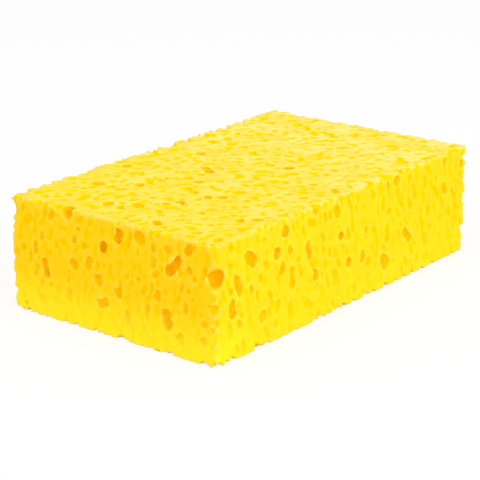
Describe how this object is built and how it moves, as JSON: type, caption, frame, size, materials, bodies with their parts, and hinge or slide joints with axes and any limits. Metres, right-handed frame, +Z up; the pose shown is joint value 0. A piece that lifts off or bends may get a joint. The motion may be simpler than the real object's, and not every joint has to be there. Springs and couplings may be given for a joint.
{
  "type": "cleaning sponge",
  "caption": "Thick rectangular cellulose sponge block with coarse open pores on every face.",
  "frame": {"origin": "centre of the block's underside", "axes": "+X along the block's length, +Y across its width, +Z up through its height"},
  "size_m": [0.18, 0.11, 0.05],
  "materials": {
    "cellulose": "matte"
  },
  "bodies": {
    "root": {"sponge": "cellulose"}
  },
  "joints": []
}
